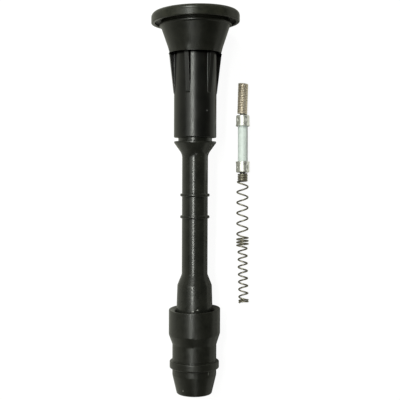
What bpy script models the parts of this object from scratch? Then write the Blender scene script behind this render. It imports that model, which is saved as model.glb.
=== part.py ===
"""Ignition coil boot, with its resistor and spring contact taken out and laid beside it.

The boot is four pieces on one axis: a flanged rubber seal, a finned hard sleeve, a flared extension
tube and a rubber plug boot. Its coil end points along +Y. It lies on its side, on the flange's rim
and on the plug boot's ring, so its axis dips towards the plug end. The contact is five pieces on an
axis of its own: a close-wound terminal coil, two pressed end caps, the resistor rod between them and
the stepped spring that reaches the spark plug. It lies on the flared rims of its caps.

Each assembly is modelled upright on its own Z axis, downwards from its top at zero, under an empty
that lays it down. Sizes are in metres.
"""

import math

import bmesh
import bpy
from mathutils import Vector

# Clearances
SEAT_GAP = 0.0003  # between pieces that sit in or on each other
SNUG_GAP = 0.0001  # between the fins and the seal's skirt
TURN_GAP = 0.00005  # between the turns of a close-wound coil

# Flanged seal, rubber
FLANGE_RADIUS = 0.0200
FLANGE_HEIGHT = 0.0050
FLANGE_TOP_ROUND = 0.0022
FLANGE_EDGE_ROUND = 0.0005
FLANGE_LIP = 0.0017  # width of the rim that stands down round the recess
RECESS_DEPTH = 0.0013
RECESS_INNER_RADIUS = 0.0157
SHOULDER_RADIUS = 0.0163  # bead at the top of the cone
SHOULDER_HEIGHT = 0.0011
CONE_TOP_RADIUS = 0.01558
CONE_END_RADIUS = 0.0115
CONE_LENGTH = 0.0135  # from the flange's lower edge to the cone's open end
CONE_END_WALL = 0.0008
CONE_END_ROUND = 0.00025
SKIRT_DEPTH = 0.0034  # flared inside of the cone's open end
SEAL_LIP = 0.0026  # rubber over the sleeve's top end
SEAL_MOUTH_RADIUS = 0.0083
COIL_SEAT_RADIUS = 0.0122  # shallow seat for the foot of the coil's tower
COIL_SEAT_DEPTH = 0.0009
FLANGE_PITCH = 1.3  # degrees that the soft flange is flexed, its upper rim towards the coil end
FLANGE_ROLL = 1.5  # degrees, its right rim towards the coil end

# Finned sleeve, hard plastic
SLEEVE_RADIUS = 0.00963
SLEEVE_BELOW_SEAL = 0.0382  # from the cone's open end to the sleeve's lower end
SLEEVE_END_ROUND = 0.0005
TOWER_SOCKET_RADIUS = 0.00775
TOWER_SOCKET_DEPTH = 0.0290
WEB_BORE_RADIUS = 0.0045
FIN_COUNT = 6
FIN_FIRST_ANGLE = -19.5  # degrees, from the side that faces up, positive to the right
FIN_THICKNESS = 0.0020
FIN_LENGTH = 0.0184
FIN_TOP_RADIUS = 0.01195
FIN_END_RADIUS = 0.0100
FIN_ROOT_DEPTH = 0.0010  # how far a fin's blank reaches into the wall that it grows from

# Extension tube, hard plastic
SPIGOT_RADIUS = 0.00767
SPIGOT_LENGTH = 0.0119  # inside the sleeve
SPIGOT_ROUND = 0.0006
GROOVE_WIDTH = 0.00167  # open length of spigot between the sleeve and the flared collar
COLLAR_RADIUS = 0.00953
COLLAR_HEIGHT = 0.0007
FLARE_LENGTH = 0.0051
TUBE_RADIUS = 0.00587
TUBE_LENGTH = 0.0603  # from the collar's top face to the start of the lower shoulder
TUBE_BORE_RADIUS = 0.0042
BEAD_POSITIONS = (0.0243, 0.0342)  # below the collar's top face
BEAD_HEIGHT = 0.0013
BEAD_PROUD = 0.0008
SHOULDER_LENGTH = 0.0049
CUP_TOP_RADIUS = 0.00786  # the tube's wide lower end
CUP_END_RADIUS = 0.0082
CUP_LENGTH = 0.0257
CUP_BORE_RADIUS = 0.0056
CUP_BORE_DEPTH = 0.0222

# Plug boot, rubber
BOOT_OVERLAP = 0.0148  # how far the tube's lower end sits in the boot
BOOT_COLLAR_RADIUS = 0.01170
BOOT_COLLAR_LENGTH = 0.0113
BOOT_LIP_WIDTH = 0.0006  # flat top of the lip round the dished mouth
BOOT_LIP_ROUND = 0.00035
BOOT_DISH_DEPTH = 0.0008
BOOT_MOUTH_CHAMFER = 0.0006
BOOT_PITCH = -2.8  # degrees that the soft mouth is flexed, its upper edge towards the plug end
BOOT_ROLL = 1.7  # degrees, its right edge towards the coil end
BOOT_TAPER_LENGTH = 0.00485
BOOT_WAIST_RADIUS = 0.01005
BOOT_WAIST_LENGTH = 0.0075
BOOT_RING_RADIUS = 0.01127
BOOT_RING_HEIGHT = 0.0034
BOOT_RING_TOP_ROUND = 0.0005
BOOT_RING_ROUND = 0.0013
BOOT_TIP_LENGTH = 0.0118
BOOT_TIP_SHOULDER = 0.0030  # straight length under the ring
BOOT_TIP_RADIUS = 0.00795
BOOT_TIP_ROUND = 0.0009
PLUG_BORE_RADIUS = 0.00525

# Resistor and spring contact, metal and ceramic
WIRE_RADIUS = 0.000375
COIL_MEAN_RADIUS = 0.00203
TERMINAL_LENGTH = 0.01505
TERMINAL_START = 90.0  # degrees, where the wire begins, on the side that faces down
TERMINAL_LEAN = 1.6  # degrees, towards +X at its free end
CAP_RADIUS = 0.0031
CAP_RIM_RADIUS = 0.0033
CAP_RIM_HEIGHT = 0.0011
CAP_LENGTH = 0.00505
CAP_END_WALL = 0.0005
CAP_PIN_LENGTH = 0.0036
END_ROUND = 0.0003  # on the ends of the caps' pins and of the rod
RESISTOR_RADIUS = 0.0023
RESISTOR_SHOWN = 0.0167  # bare ceramic between the two caps
SPRING_SECTIONS = (  # turns, pitch and mean radius of each stretch of the spring, from the cap down
    (4.44, 2 * WIRE_RADIUS + TURN_GAP, COIL_MEAN_RADIUS),
    (5.35, 0.0049, 0.00252),
    (2.84, 0.00141, 0.0026),
    (7.2, 0.00348, 0.00205),
    (1.7, 2 * WIRE_RADIUS + TURN_GAP, 0.00205),
)
SPRING_EASE = 0.3  # turns over which one stretch passes into the next
SPRING_START = 13.5  # degrees
SPRING_LEAN = -0.0128  # sideways run of the spring's axis at the cap, per metre of length
SPRING_BOW = 0.37  # and its growth, per metre squared

# Where the contact lies, from the boot's axis and from the top of its flange
CONTACT_OFFSET = 0.0223
CONTACT_SETBACK = 0.02929

# Facets
SEAL_STEPS = 36
SLEEVE_STEPS = 36
TUBE_STEPS = 28
BOOT_STEPS = 36
CAP_STEPS = 20
WIRE_POINTS_PER_TURN = 10
ARC_STEPS = 2

# Heights along the boot's axis, measured down from the flange's top face
SHOULDER_END = FLANGE_HEIGHT + FLANGE_EDGE_ROUND + SHOULDER_HEIGHT
CONE_END = FLANGE_HEIGHT + CONE_LENGTH
FLANGE_SLOPE = math.hypot(math.tan(math.radians(FLANGE_PITCH)), math.tan(math.radians(FLANGE_ROLL)))
SLEEVE_TOP = SEAL_LIP + SEAT_GAP + SLEEVE_RADIUS * FLANGE_SLOPE
SLEEVE_END = CONE_END + SLEEVE_BELOW_SEAL
COLLAR_TOP = SLEEVE_END + GROOVE_WIDTH
TUBE_TOP = SLEEVE_END - SPIGOT_LENGTH
TUBE_SHOULDER = COLLAR_TOP + TUBE_LENGTH
CUP_TOP = TUBE_SHOULDER + SHOULDER_LENGTH
TUBE_END = CUP_TOP + CUP_LENGTH
BOOT_TOP = TUBE_END - BOOT_OVERLAP
BOOT_TAPER = BOOT_TOP + BOOT_COLLAR_LENGTH
BOOT_WAIST = BOOT_TAPER + BOOT_TAPER_LENGTH
BOOT_RING = BOOT_WAIST + BOOT_WAIST_LENGTH
BOOT_RING_END = BOOT_RING + BOOT_RING_HEIGHT
BOOT_END = BOOT_RING_END + BOOT_TIP_LENGTH

# Heights along the contact's axis, measured down from the terminal coil's free end
UPPER_CAP_TOP = TERMINAL_LENGTH + SEAT_GAP
RESISTOR_BARE = UPPER_CAP_TOP + CAP_LENGTH
LOWER_CAP_TOP = RESISTOR_BARE + RESISTOR_SHOWN
LOWER_CAP_END = LOWER_CAP_TOP + CAP_LENGTH
CAP_BORE_RADIUS = RESISTOR_RADIUS + SEAT_GAP
CAP_PIN_RADIUS = COIL_MEAN_RADIUS - WIRE_RADIUS - SEAT_GAP


def clear_scene():
    """Removes every object and collection of the open scene."""
    for obj in list(bpy.data.objects):
        bpy.data.objects.remove(obj, do_unlink=True)
    for collection in list(bpy.data.collections):
        bpy.data.collections.remove(collection)


def new_collection(name):
    """Adds a collection to the scene."""
    collection = bpy.data.collections.new(name)
    bpy.context.scene.collection.children.link(collection)
    return collection


def new_material(name, colour, roughness, metallic=0.0):
    """Makes a plain Principled material."""
    material = bpy.data.materials.new(name)
    material.use_nodes = True
    shader = material.node_tree.nodes["Principled BSDF"]
    shader.inputs["Base Color"].default_value = (*colour, 1.0)
    shader.inputs["Roughness"].default_value = roughness
    shader.inputs["Metallic"].default_value = metallic
    return material


def new_empty(name, collection):
    """Adds an empty that carries one assembly."""
    empty = bpy.data.objects.new(name, None)
    collection.objects.link(empty)
    return empty


def place(obj, collection, parent=None, material=None):
    """Links an object, hangs it under its empty and gives it its material."""
    collection.objects.link(obj)
    obj.parent = parent
    if material:
        obj.data.materials.append(material)
    return obj


def rounded(corners, closed=True):
    """Turns corners (radius, depth, round) into profile points, with an arc at each rounded corner.

    A round is limited to half of the shorter side that meets at its corner.
    """
    points = []
    for index, (radius, depth, size) in enumerate(corners):
        here = Vector((radius, -depth))
        inner = closed or 0 < index < len(corners) - 1
        if not size or not inner:
            points.append(here)
            continue
        before = Vector((corners[index - 1][0], -corners[index - 1][1])) - here
        after_corner = corners[(index + 1) % len(corners)]
        after = Vector((after_corner[0], -after_corner[1])) - here
        half_angle = before.angle(after) / 2
        reach = min(size / math.tan(half_angle), before.length / 2, after.length / 2)
        arc_radius = reach * math.tan(half_angle)
        bisector = (before.normalized() + after.normalized()).normalized()
        centre = here + bisector * (arc_radius / math.sin(half_angle))
        start = here + before.normalized() * reach - centre
        sweep = start.angle_signed(here + after.normalized() * reach - centre)
        for step in range(ARC_STEPS + 1):
            turn = -sweep * step / ARC_STEPS
            points.append(centre + Vector((
                start.x * math.cos(turn) - start.y * math.sin(turn),
                start.x * math.sin(turn) + start.y * math.cos(turn),
            )))
    return points


def turned(name, corners, steps, closed=True):
    """Makes a turned piece: a profile at +X with a Screw modifier about Z."""
    points = rounded(corners, closed)
    edges = [(i, i + 1) for i in range(len(points) - 1)]
    if closed:
        edges.append((len(points) - 1, 0))
    mesh = bpy.data.meshes.new(name)
    mesh.from_pydata([(p.x, 0.0, p.y) for p in points], edges, [])
    obj = bpy.data.objects.new(name, mesh)
    screw = obj.modifiers.new("turn", "SCREW")
    screw.axis = "Z"
    screw.angle = math.tau
    screw.steps = steps
    screw.render_steps = steps
    screw.use_merge_vertices = True
    screw.merge_threshold = 0.000001
    screw.use_smooth_shade = True
    return obj


def flex(obj, depths, radius, pitch, roll, cutters, parent):
    """Tilts the top end of a soft piece with a lattice: fully above the first depth, not at all below the second."""
    height = depths[1] - depths[0]
    grid = bpy.data.lattices.new(obj.name + "_flex")
    grid.points_u = grid.points_v = grid.points_w = 2
    grid.interpolation_type_u = grid.interpolation_type_v = grid.interpolation_type_w = "KEY_LINEAR"
    for point in grid.points:
        x, y, z = point.co
        if z > 0:
            rise = x * math.tan(math.radians(roll)) - y * math.tan(math.radians(pitch))
            point.co_deform = (x, y, z + rise * 2 * radius / height)
    cage = place(bpy.data.objects.new(obj.name + "_flex", grid), cutters, parent)
    cage.location = (0.0, 0.0, -sum(depths) / 2)
    cage.scale = (2 * radius, 2 * radius, height)
    cage.hide_render = True
    cage.display_type = "WIRE"
    obj.modifiers.new("flex", "LATTICE").object = cage
    return obj


def make_seal(cutters, parent):
    """The rubber seal: a flange with a recess under its rim, and a cone over the sleeve's top."""
    shoulder_top = SHOULDER_END - SHOULDER_HEIGHT
    recess = FLANGE_HEIGHT - RECESS_DEPTH
    bore = SLEEVE_RADIUS + SEAT_GAP
    lip_inner = FLANGE_RADIUS - FLANGE_LIP
    seal = turned("flange_seal", [
        (COIL_SEAT_RADIUS, 0.0, 0.0),
        (FLANGE_RADIUS, 0.0, FLANGE_TOP_ROUND),
        (FLANGE_RADIUS, FLANGE_HEIGHT, FLANGE_EDGE_ROUND),
        (lip_inner, FLANGE_HEIGHT, 0.0),
        (lip_inner, recess, 0.0),
        (RECESS_INNER_RADIUS, recess, 0.0),
        (RECESS_INNER_RADIUS, shoulder_top, 0.0),
        (SHOULDER_RADIUS, shoulder_top, SHOULDER_HEIGHT / 3),
        (SHOULDER_RADIUS, SHOULDER_END, SHOULDER_HEIGHT / 3),
        (CONE_TOP_RADIUS, SHOULDER_END, 0.0),
        (CONE_END_RADIUS, CONE_END, CONE_END_ROUND),
        (CONE_END_RADIUS - CONE_END_WALL, CONE_END, 0.0),
        (bore, CONE_END - SKIRT_DEPTH, 0.0),
        (bore, SEAL_LIP, 0.0),
        (SEAL_MOUTH_RADIUS, SEAL_LIP, 0.0),
        (SEAL_MOUTH_RADIUS, COIL_SEAT_DEPTH, 0.0),
        (COIL_SEAT_RADIUS, COIL_SEAT_DEPTH, 0.0),
    ], SEAL_STEPS)
    return flex(seal, (SHOULDER_END, CONE_END), FLANGE_RADIUS, FLANGE_PITCH, FLANGE_ROLL, cutters, parent)


def fin_blank_mesh():
    """One fin as a flat plate: its outline drawn in 2D and extruded, then made a closed mesh."""
    top = CONE_END + SNUG_GAP
    root = SLEEVE_RADIUS - FIN_ROOT_DEPTH
    outline = [
        (root, -top - FIN_LENGTH),
        (root, -top),
        (FIN_TOP_RADIUS, -top),
        (FIN_END_RADIUS, -top - FIN_LENGTH),
    ]
    curve = bpy.data.curves.new("fin_outline", "CURVE")
    curve.dimensions = "2D"
    curve.fill_mode = "BOTH"
    curve.extrude = FIN_THICKNESS / 2
    spline = curve.splines.new("POLY")
    spline.points.add(len(outline) - 1)
    for point, (x, y) in zip(spline.points, outline):
        point.co = (x, y, 0.0, 1.0)
    spline.use_cyclic_u = True
    return closed_mesh(curve, "fin_blank")


def closed_mesh(curve, name):
    """Turns a curve into a mesh whose caps are welded to its sides."""
    guide = bpy.data.objects.new(name, curve)
    bpy.context.scene.collection.objects.link(guide)
    bpy.context.view_layer.update()
    evaluated = guide.evaluated_get(bpy.context.evaluated_depsgraph_get())
    mesh = bpy.data.meshes.new_from_object(evaluated)
    mesh.name = name
    bpy.data.objects.remove(guide)
    shape = bmesh.new()
    shape.from_mesh(mesh)
    bmesh.ops.remove_doubles(shape, verts=shape.verts, dist=0.000001)
    shape.to_mesh(mesh)
    shape.free()
    return mesh


def make_sleeve(cutters, parent):
    """The hard sleeve: a turned body with six tapering fins joined to it."""
    sleeve = turned("finned_sleeve", [
        (SLEEVE_RADIUS, SLEEVE_TOP, 0.0),
        (SLEEVE_RADIUS, SLEEVE_END, SLEEVE_END_ROUND),
        (SPIGOT_RADIUS + SEAT_GAP, SLEEVE_END, 0.0),
        (SPIGOT_RADIUS + SEAT_GAP, TUBE_TOP - SEAT_GAP, 0.0),
        (WEB_BORE_RADIUS, TUBE_TOP - SEAT_GAP, 0.0),
        (WEB_BORE_RADIUS, SLEEVE_TOP + TOWER_SOCKET_DEPTH, 0.0),
        (TOWER_SOCKET_RADIUS, SLEEVE_TOP + TOWER_SOCKET_DEPTH, 0.0),
        (TOWER_SOCKET_RADIUS, SLEEVE_TOP, 0.0),
    ], SLEEVE_STEPS)
    blank_mesh = fin_blank_mesh()
    for index in range(FIN_COUNT):
        blank = place(bpy.data.objects.new(f"fin_blank_{index + 1}", blank_mesh), cutters, parent)
        facing = FIN_FIRST_ANGLE + 360 / FIN_COUNT * index - 90
        # The outline's own up axis is Y, so the plate is stood up and then turned to its place.
        blank.rotation_euler = (math.radians(90), 0.0, math.radians(facing))
        blank.hide_render = True
        blank.display_type = "WIRE"
        union = sleeve.modifiers.new(f"fin_{index + 1}", "BOOLEAN")
        union.operation = "UNION"
        union.object = blank
    return sleeve


def make_tube():
    """The extension tube: spigot, flared collar, two beads, and a wide cup for the plug boot."""
    flare_end = COLLAR_TOP + COLLAR_HEIGHT + FLARE_LENGTH
    corners = [
        (SPIGOT_RADIUS, TUBE_TOP, SPIGOT_ROUND),
        (SPIGOT_RADIUS, COLLAR_TOP, 0.0),
        (COLLAR_RADIUS, COLLAR_TOP, 0.0),
        (COLLAR_RADIUS, COLLAR_TOP + COLLAR_HEIGHT, 0.0),
        (TUBE_RADIUS, flare_end, FLARE_LENGTH),
    ]
    for position in BEAD_POSITIONS:
        middle = COLLAR_TOP + position
        corners += [
            (TUBE_RADIUS, middle - BEAD_HEIGHT / 2, 0.0),
            (TUBE_RADIUS + BEAD_PROUD, middle - BEAD_HEIGHT / 2, BEAD_HEIGHT / 2),
            (TUBE_RADIUS + BEAD_PROUD, middle + BEAD_HEIGHT / 2, BEAD_HEIGHT / 2),
            (TUBE_RADIUS, middle + BEAD_HEIGHT / 2, 0.0),
        ]
    corners += [
        (TUBE_RADIUS, TUBE_SHOULDER, SHOULDER_LENGTH / 2),
        (CUP_TOP_RADIUS, CUP_TOP, SHOULDER_LENGTH / 2),
        (CUP_END_RADIUS, BOOT_TOP, 0.0),
        (CUP_END_RADIUS, TUBE_END, 0.0),
        (CUP_BORE_RADIUS, TUBE_END, 0.0),
        (CUP_BORE_RADIUS, TUBE_END - CUP_BORE_DEPTH, 0.0),
        (TUBE_BORE_RADIUS, TUBE_END - CUP_BORE_DEPTH - (CUP_BORE_RADIUS - TUBE_BORE_RADIUS), 0.0),
        (TUBE_BORE_RADIUS, TUBE_TOP, 0.0),
    ]
    return turned("extension_tube", corners, TUBE_STEPS)


def make_plug_boot(cutters, parent):
    """The rubber plug boot: collar with a dished mouth, waist, ring and tapered tip, with a socket at each end."""
    socket = CUP_END_RADIUS + SEAT_GAP
    floor = TUBE_END + SEAT_GAP
    dish = BOOT_TOP + BOOT_DISH_DEPTH
    boot = turned("plug_boot", [
        (BOOT_COLLAR_RADIUS, BOOT_TOP, BOOT_LIP_ROUND),
        (BOOT_COLLAR_RADIUS, BOOT_TAPER, BOOT_TAPER_LENGTH / 2),
        (BOOT_WAIST_RADIUS, BOOT_WAIST, BOOT_TAPER_LENGTH / 2),
        (BOOT_WAIST_RADIUS, BOOT_RING, 0.0),
        (BOOT_RING_RADIUS, BOOT_RING, BOOT_RING_TOP_ROUND),
        (BOOT_RING_RADIUS, BOOT_RING_END, BOOT_RING_ROUND),
        (BOOT_WAIST_RADIUS, BOOT_RING_END, 0.0),
        (BOOT_WAIST_RADIUS, BOOT_RING_END + BOOT_TIP_SHOULDER, BOOT_RING_ROUND),
        (BOOT_TIP_RADIUS, BOOT_END, BOOT_TIP_ROUND),
        (PLUG_BORE_RADIUS + BOOT_MOUTH_CHAMFER, BOOT_END, 0.0),
        (PLUG_BORE_RADIUS, BOOT_END - BOOT_MOUTH_CHAMFER, 0.0),
        (PLUG_BORE_RADIUS, floor, 0.0),
        (socket, floor, 0.0),
        (socket, dish + BOOT_MOUTH_CHAMFER, 0.0),
        (socket + BOOT_MOUTH_CHAMFER, dish, 0.0),
        (BOOT_COLLAR_RADIUS - BOOT_LIP_WIDTH, BOOT_TOP, 0.0),
    ], BOOT_STEPS)
    return flex(boot, (BOOT_TAPER, BOOT_WAIST), BOOT_COLLAR_RADIUS, BOOT_PITCH, BOOT_ROLL, cutters, parent)


def wire(name, points):
    """A round wire along points: a POLY spline with a bevel and filled ends."""
    curve = bpy.data.curves.new(name, "CURVE")
    curve.dimensions = "3D"
    curve.bevel_depth = WIRE_RADIUS
    curve.bevel_resolution = 2
    curve.use_fill_caps = True
    spline = curve.splines.new("POLY")
    spline.points.add(len(points) - 1)
    for point, co in zip(spline.points, points):
        point.co = (*co, 1.0)
    return bpy.data.objects.new(name, curve)


def coil_points(sections, start_angle=0.0, lean=0.0, bow=0.0):
    """Points of a left-hand coil that runs down from zero through its sections."""
    points = []
    depth = WIRE_RADIUS
    total_turns = sum(turns for turns, _, _ in sections)
    count = round(total_turns * WIRE_POINTS_PER_TURN)
    for index in range(count + 1):
        turn = total_turns * index / count
        pitch, radius = eased(sections, turn)
        if index:
            depth += pitch * total_turns / count
        angle = math.radians(start_angle) + math.tau * turn
        aside = lean * depth + bow * depth * depth
        points.append((radius * math.cos(angle) + aside, radius * math.sin(angle), -depth))
    return points


def eased(sections, turn):
    """Pitch and mean radius at a turn, passing smoothly from one section to the next."""
    pitch, radius = sections[0][1:]
    border = 0.0
    for (turns, _, _), (_, next_pitch, next_radius) in zip(sections, sections[1:]):
        border += turns
        share = min(max((turn - border) / SPRING_EASE + 0.5, 0.0), 1.0)
        blend = share * share * (3 - 2 * share)
        pitch += (next_pitch - pitch) * blend
        radius += (next_radius - radius) * blend
    return pitch, radius


def make_terminal_coil():
    """The close-wound coil that meets the ignition coil's terminal, hung from its lower end."""
    pitch = 2 * WIRE_RADIUS + TURN_GAP
    turns = (TERMINAL_LENGTH - 2 * WIRE_RADIUS) / pitch
    points = coil_points(((turns, pitch, COIL_MEAN_RADIUS),), TERMINAL_START)
    raised = [(x, y, z + TERMINAL_LENGTH) for x, y, z in points]
    coil = wire("terminal_coil", raised)
    coil.location = (0.0, 0.0, -TERMINAL_LENGTH)
    coil.rotation_euler = (0.0, math.radians(TERMINAL_LEAN), 0.0)
    return coil


def make_cap(name):
    """A pressed end cap: a pin for the coil, a closed end and a flared open rim."""
    rim_wall = CAP_RADIUS - CAP_BORE_RADIUS
    return turned(name, [
        (0.0, -CAP_PIN_LENGTH, 0.0),
        (CAP_PIN_RADIUS, -CAP_PIN_LENGTH, END_ROUND),
        (CAP_PIN_RADIUS, 0.0, 0.0),
        (CAP_RADIUS, 0.0, CAP_END_WALL),
        (CAP_RADIUS, CAP_LENGTH - CAP_RIM_HEIGHT, 0.0),
        (CAP_RIM_RADIUS, CAP_LENGTH, 0.0),
        (CAP_RIM_RADIUS - rim_wall, CAP_LENGTH, 0.0),
        (CAP_BORE_RADIUS, CAP_LENGTH - CAP_RIM_HEIGHT, 0.0),
        (CAP_BORE_RADIUS, CAP_END_WALL, 0.0),
        (0.0, CAP_END_WALL, 0.0),
    ], CAP_STEPS, closed=False)


def make_resistor():
    """The ceramic resistor rod, whose ends sit in the caps."""
    into_cap = CAP_LENGTH - CAP_END_WALL - SEAT_GAP
    top = RESISTOR_BARE - into_cap
    end = LOWER_CAP_TOP + into_cap
    return turned("resistor_rod", [
        (0.0, top, 0.0),
        (RESISTOR_RADIUS, top, END_ROUND),
        (RESISTOR_RADIUS, end, END_ROUND),
        (0.0, end, 0.0),
    ], CAP_STEPS, closed=False)


def rim_depth():
    """Depth of the flexed flange's lowest point, where it rests."""
    return FLANGE_HEIGHT - FLANGE_EDGE_ROUND + FLANGE_RADIUS * math.tan(math.radians(FLANGE_PITCH))


def resting_tilt():
    """Angle at which the boot lies on the flange's rim and on the plug boot's ring."""
    ring = BOOT_RING_END - BOOT_RING_ROUND
    return math.atan2(FLANGE_RADIUS - BOOT_RING_RADIUS, ring - rim_depth())


def centre_on_floor(collection, carriers):
    """Moves the carriers so that the lowest, middle point of the whole set's box is the origin."""
    bpy.context.view_layer.update()
    graph = bpy.context.evaluated_depsgraph_get()
    corners = []
    for obj in collection.objects:
        if obj.type == "EMPTY":
            continue
        shown = obj.evaluated_get(graph)
        mesh = shown.to_mesh()
        corners += [obj.matrix_world @ vertex.co for vertex in mesh.vertices]
        shown.to_mesh_clear()
    low = Vector([min(corner[axis] for corner in corners) for axis in range(3)])
    high = Vector([max(corner[axis] for corner in corners) for axis in range(3)])
    for carrier in carriers:
        carrier.location -= Vector(((low.x + high.x) / 2, (low.y + high.y) / 2, low.z))


def build():
    """Builds the boot and its contact."""
    clear_scene()
    parts = new_collection("ignition_coil_boot")
    cutters = new_collection("cutters")

    rubber = new_material("rubber", (0.030, 0.031, 0.028), 0.55)
    sleeve_plastic = new_material("sleeve_plastic", (0.012, 0.012, 0.014), 0.28)
    tube_plastic = new_material("tube_plastic", (0.024, 0.025, 0.024), 0.32)
    plated_steel = new_material("plated_steel", (0.62, 0.61, 0.57), 0.25, 1.0)
    spring_steel = new_material("spring_steel", (0.42, 0.40, 0.35), 0.32, 1.0)
    ceramic = new_material("ceramic", (0.74, 0.80, 0.76), 0.45)

    tilt = resting_tilt()
    boot = new_empty("boot_axis", parts)
    boot.rotation_euler = (tilt - math.radians(90), 0.0, 0.0)
    boot.location = (0.0, 0.0, FLANGE_RADIUS * math.cos(tilt) + rim_depth() * math.sin(tilt))
    contact = new_empty("contact_axis", parts)
    contact.rotation_euler = (-math.radians(90), 0.0, 0.0)
    contact.location = (CONTACT_OFFSET, -CONTACT_SETBACK, CAP_RIM_RADIUS)

    place(make_seal(cutters, boot), parts, boot, rubber)
    place(make_sleeve(cutters, boot), parts, boot, sleeve_plastic)
    place(make_tube(), parts, boot, tube_plastic)
    place(make_plug_boot(cutters, boot), parts, boot, rubber)

    place(make_terminal_coil(), parts, contact, spring_steel)
    upper_cap = place(make_cap("upper_end_cap"), parts, contact, plated_steel)
    upper_cap.location = (0.0, 0.0, -UPPER_CAP_TOP)
    place(make_resistor(), parts, contact, ceramic)
    lower_cap = place(make_cap("lower_end_cap"), parts, contact, plated_steel)
    lower_cap.location = (0.0, 0.0, -LOWER_CAP_END)
    lower_cap.rotation_euler = (math.pi, 0.0, 0.0)
    spring = wire("contact_spring", coil_points(SPRING_SECTIONS, SPRING_START, SPRING_LEAN, SPRING_BOW))
    spring.location = (0.0, 0.0, -LOWER_CAP_END - SEAT_GAP)
    place(spring, parts, contact, spring_steel)

    centre_on_floor(parts, (boot, contact))


build()
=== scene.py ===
"""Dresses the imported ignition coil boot: fine turned rubber and plastic, wound wire, pressed caps, ceramic.

Each assembly is modelled on its own Z axis, downwards from its top at zero, and stands on the axis that
its CAD nodes give. Depths count down that axis. Sizes are in metres and angles in degrees.
"""

import math

import bmesh
import bpy
from mathutils import Matrix, Vector


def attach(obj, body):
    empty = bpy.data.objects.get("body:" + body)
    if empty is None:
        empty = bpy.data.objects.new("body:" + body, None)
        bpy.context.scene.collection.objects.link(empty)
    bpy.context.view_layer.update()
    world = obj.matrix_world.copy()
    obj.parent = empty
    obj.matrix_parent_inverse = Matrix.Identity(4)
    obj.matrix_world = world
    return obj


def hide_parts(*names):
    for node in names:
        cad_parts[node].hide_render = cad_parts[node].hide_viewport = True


# Shared
SEAT_GAP = 0.0003
SNUG_GAP = 0.0001
TURN_GAP = 0.00005
WELD = 0.0000001  # points that are closer than this are one
FINE_ROUND = 0.0002
SOFT_ROUND = 0.0003

# Flanged seal
FLANGE_RADIUS = 0.0200
FLANGE_HEIGHT = 0.0050
FLANGE_TOP_ROUND = 0.00225
FLANGE_EDGE_ROUND = 0.0005
FLANGE_LIP = 0.0017
FLANGE_LIP_ROUND = 0.0004
RECESS_DEPTH = 0.0013
RECESS_INNER_RADIUS = 0.0157
SHOULDER_RADIUS = 0.0163
SHOULDER_HEIGHT = 0.0011
CONE_TOP_RADIUS = 0.01558
CONE_END_RADIUS = 0.0115
CONE_LENGTH = 0.0135
CONE_END_WALL = 0.0008
CONE_END_ROUND = 0.00025
SKIRT_DEPTH = 0.0034
SKIRT_STEP = 0.0004
SEAL_LIP = 0.0026
SEAL_MOUTH_RADIUS = 0.0083
COIL_SEAT_RADIUS = 0.0122
COIL_SEAT_DEPTH = 0.0009
FLANGE_PITCH = 1.3  # tilt of the soft flange
FLANGE_ROLL = 1.5
SKIRT_FLARE = 0.00018
SKIRT_BULGE = 0.0003
SKIRT_BULGE_SPREAD = 9.0

# Finned sleeve
SLEEVE_RADIUS = 0.00963
SLEEVE_BELOW_SEAL = 0.0382
SLEEVE_END_ROUND = 0.0005
TOWER_SOCKET_RADIUS = 0.00775
TOWER_SOCKET_DEPTH = 0.0290
WEB_BORE_RADIUS = 0.0045
FIN_COUNT = 6
FIN_FIRST_ANGLE = -19.5
FIN_THICKNESS = 0.0020
FIN_LENGTH = 0.0184
FIN_TOP_RADIUS = 0.01195
FIN_END_RADIUS = 0.0098
FIN_CORNER = 0.00018
FIN_CORNER_LENGTH = 0.0012
FIN_EDGE_ROUND = 0.00008
FIN_EDGE_LIMIT = 0.45  # of the fin's height
FIN_FILLET = 0.00045
FIN_FILLET_LIMIT = 0.5  # of the fin's height
FIN_END_ROUND = 0.0002

# Extension tube
SPIGOT_RADIUS = 0.00767
SPIGOT_LENGTH = 0.0119
SPIGOT_ROUND = 0.0006
GROOVE_WIDTH = 0.00167
COLLAR_RADIUS = 0.00953
COLLAR_HEIGHT = 0.0007
COLLAR_ROUND = 0.00025
FLARE_LENGTH = 0.0051
TUBE_RADIUS = 0.00587
TUBE_LENGTH = 0.0603
TUBE_BORE_RADIUS = 0.0042
BEAD_POSITIONS = (0.0243, 0.0342)
BEAD_HEIGHT = 0.0013
BEAD_PROUD = 0.0008
SHOULDER_LENGTH = 0.0049
CUP_TOP_RADIUS = 0.00786
CUP_END_RADIUS = 0.0082
CUP_LENGTH = 0.0257
CUP_BORE_RADIUS = 0.0056
CUP_BORE_DEPTH = 0.0222

# Plug boot
BOOT_OVERLAP = 0.0148
BOOT_COLLAR_RADIUS = 0.01170
BOOT_COLLAR_LENGTH = 0.0113
BOOT_LIP_WIDTH = 0.0006
BOOT_LIP_ROUND = 0.00035
BOOT_DISH_DEPTH = 0.0008
BOOT_MOUTH_CHAMFER = 0.0006
BOOT_MOUTH_ROUND = 0.0004
BOOT_PITCH = -2.8  # tilt of the soft lip
BOOT_ROLL = 1.7
BOOT_TAPER_LENGTH = 0.00485
BOOT_WAIST_RADIUS = 0.01005
BOOT_WAIST_LENGTH = 0.0075
BOOT_RING_RADIUS = 0.01127
BOOT_RING_HEIGHT = 0.0034
BOOT_RING_TOP_ROUND = 0.0005
BOOT_RING_ROUND = 0.0013
BOOT_TIP_LENGTH = 0.0118
BOOT_TIP_SHOULDER = 0.0030
BOOT_TIP_RADIUS = 0.00795
BOOT_TIP_ROUND = 0.0009
PLUG_BORE_RADIUS = 0.00525

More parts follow.
